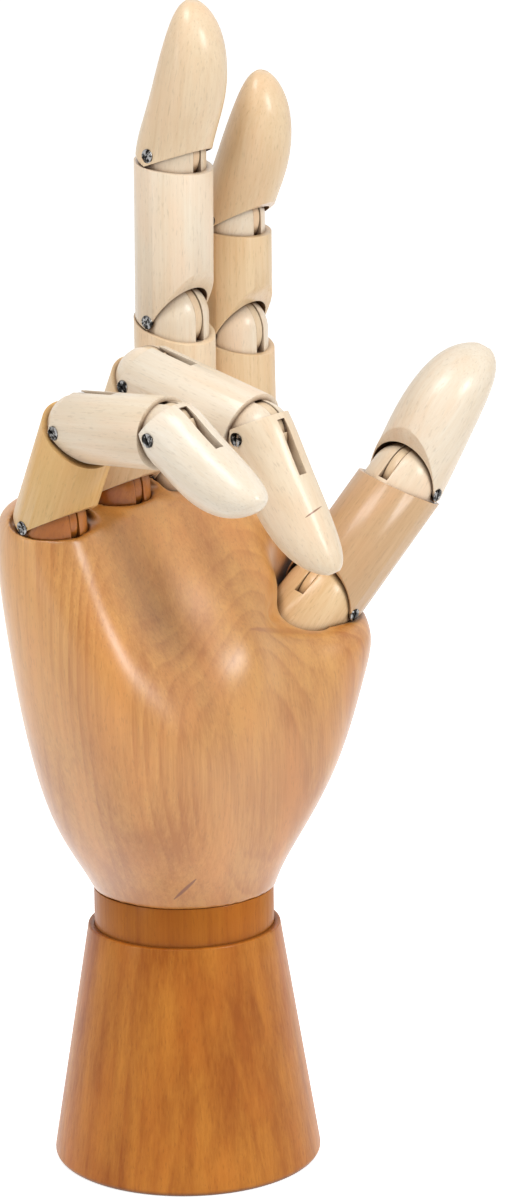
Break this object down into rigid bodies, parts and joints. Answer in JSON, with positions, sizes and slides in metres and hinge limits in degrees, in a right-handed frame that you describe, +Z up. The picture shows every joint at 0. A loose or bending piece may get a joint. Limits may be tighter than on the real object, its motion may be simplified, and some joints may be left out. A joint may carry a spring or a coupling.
{
  "type": "wooden hand mannequin",
  "caption": "Jointed wooden artist's hand on a tapered round base: swivelling wrist, hinged fingers and thumb with screwed ball knuckles.",
  "frame": {"origin": "centre of the base's underside", "axes": "+Z up along the wrist, palm faces -Y, thumb side is +X"},
  "size_m": [0.1411, 0.101, 0.2939],
  "materials": {
    "base_wood": "satin varnish",
    "palm_wood": "satin varnish",
    "finger_wood": "satin varnish",
    "knuckle_wood": "satin varnish",
    "tongue_wood": "bare",
    "dowel_wood": "bare",
    "steel": "polished, darkened"
  },
  "bodies": {
    "base": {"base_cone": "base_wood"},
    "palm": {"palm_block": "palm_wood", "wrist_collar": "palm_wood", "wrist_spindle": "dowel_wood", "pinky_proximal_knuckle": "knuckle_wood", "ring_proximal_knuckle": "knuckle_wood", "middle_proximal_knuckle": "knuckle_wood", "index_proximal_knuckle": "knuckle_wood", "thumb_proximal_knuckle": "knuckle_wood"},
    "pinky_proximal": {"pinky_proximal": "finger_wood", "pinky_proximal_tongue": "tongue_wood", "pinky_proximal_pin": "steel", "pinky_middle_knuckle": "knuckle_wood"},
    "pinky_middle": {"pinky_middle": "finger_wood", "pinky_middle_tongue": "tongue_wood", "pinky_middle_pin": "steel", "pinky_distal_knuckle": "knuckle_wood"},
    "pinky_distal": {"pinky_distal": "finger_wood", "pinky_distal_tongue": "tongue_wood", "pinky_distal_pin": "steel"},
    "ring_proximal": {"ring_proximal": "finger_wood", "ring_proximal_tongue": "tongue_wood", "ring_proximal_pin": "steel", "ring_middle_knuckle": "knuckle_wood"},
    "ring_middle": {"ring_middle": "finger_wood", "ring_middle_tongue": "tongue_wood", "ring_middle_pin": "steel", "ring_distal_knuckle": "knuckle_wood"},
    "ring_distal": {"ring_distal": "finger_wood", "ring_distal_tongue": "tongue_wood", "ring_distal_pin": "steel"},
    "middle_proximal": {"middle_proximal": "finger_wood", "middle_proximal_tongue": "tongue_wood", "middle_proximal_pin": "steel", "middle_middle_knuckle": "knuckle_wood"},
    "middle_middle": {"middle_middle": "finger_wood", "middle_middle_tongue": "tongue_wood", "middle_middle_pin": "steel", "middle_distal_knuckle": "knuckle_wood"},
    "middle_distal": {"middle_distal": "finger_wood", "middle_distal_tongue": "tongue_wood", "middle_distal_pin": "steel"},
    "index_proximal": {"index_proximal": "finger_wood", "index_proximal_tongue": "tongue_wood", "index_proximal_pin": "steel", "index_middle_knuckle": "knuckle_wood"},
    "index_middle": {"index_middle": "finger_wood", "index_middle_tongue": "tongue_wood", "index_middle_pin": "steel", "index_distal_knuckle": "knuckle_wood"},
    "index_distal": {"index_distal": "finger_wood", "index_distal_tongue": "tongue_wood", "index_distal_pin": "steel"},
    "thumb_proximal": {"thumb_proximal": "finger_wood", "thumb_proximal_tongue": "tongue_wood", "thumb_proximal_pin": "steel", "thumb_distal_knuckle": "knuckle_wood"},
    "thumb_distal": {"thumb_distal": "finger_wood", "thumb_distal_tongue": "tongue_wood", "thumb_distal_pin": "steel"}
  },
  "joints": [
    {"name": "wrist_swivel", "type": "hinge", "parent": "base", "child": "palm", "pos_m": [0, 0, 0.062], "axis": [0, 0, 1], "continuous": true},
    {"name": "pinky_knuckle", "type": "hinge", "parent": "palm", "child": "pinky_proximal", "pos_m": [-0.036, 0.0079, 0.171], "axis": [0.9932, -0.052, 0.1045], "range_deg": [-30, 30]},
    {"name": "pinky_middle_joint", "type": "hinge", "parent": "pinky_proximal", "child": "pinky_middle", "pos_m": [-0.03936, -0.00634, 0.1958], "axis": [0.9932, -0.052, 0.1045], "range_deg": [-57, 1]},
    {"name": "pinky_tip_joint", "type": "hinge", "parent": "pinky_middle", "child": "pinky_distal", "pos_m": [-0.04123, -0.03875, 0.1975], "axis": [0.9932, -0.052, 0.1045], "range_deg": [-35, 11]},
    {"name": "ring_knuckle", "type": "hinge", "parent": "palm", "child": "ring_proximal", "pos_m": [-0.011, 0.011, 0.1755], "axis": [0.996, -0.0174, 0.0872], "range_deg": [-29, 31]},
    {"name": "ring_middle_joint", "type": "hinge", "parent": "ring_proximal", "child": "ring_middle", "pos_m": [-0.01373, -0.00457, 0.20356], "axis": [0.996, -0.0174, 0.0872], "range_deg": [-75.5, 1.5]},
    {"name": "ring_tip_joint", "type": "hinge", "parent": "ring_middle", "child": "ring_distal", "pos_m": [-0.01354, -0.04069, 0.19425], "axis": [0.996, -0.0174, 0.0872], "range_deg": [-46, 4]},
    {"name": "middle_knuckle", "type": "hinge", "parent": "palm", "child": "middle_proximal", "pos_m": [0.0115, 0.0112, 0.176], "axis": [0.9968, 0.0174, 0.0785], "range_deg": [-4, 56]},
    {"name": "middle_middle_joint", "type": "hinge", "parent": "middle_proximal", "child": "middle_middle", "pos_m": [0.0084, 0.00834, 0.21598], "axis": [0.9968, 0.0174, 0.0785], "range_deg": [-1, 73]},
    {"name": "middle_tip_joint", "type": "hinge", "parent": "middle_middle", "child": "middle_distal", "pos_m": [0.00523, 0.00468, 0.25709], "axis": [0.9968, 0.0174, 0.0785], "range_deg": [-15, 29]},
    {"name": "index_knuckle", "type": "hinge", "parent": "palm", "child": "index_proximal", "pos_m": [0.0339, 0.0107, 0.17], "axis": [0.9965, 0.0522, 0.0645], "range_deg": [-2, 58]},
    {"name": "index_middle_joint", "type": "hinge", "parent": "index_proximal", "child": "index_middle", "pos_m": [0.03138, 0.00916, 0.21019], "axis": [0.9965, 0.0522, 0.0645], "range_deg": [-1, 73]},
    {"name": "index_tip_joint", "type": "hinge", "parent": "index_middle", "child": "index_distal", "pos_m": [0.02958, 0.00753, 0.23929], "axis": [0.9965, 0.0522, 0.0645], "range_deg": [-20, 36]},
    {"name": "thumb_base_joint", "type": "hinge", "parent": "palm", "child": "thumb_proximal", "pos_m": [0.0424, -0.01, 0.141], "axis": [-0.0829, 0.9474, 0.309], "range_deg": [-32, 6]},
    {"name": "thumb_tip_joint", "type": "hinge", "parent": "thumb_proximal", "child": "thumb_distal", "pos_m": [0.06785, -0.01692, 0.16905], "axis": [-0.0829, 0.9474, 0.309], "range_deg": [-44, 14]}
  ]
}
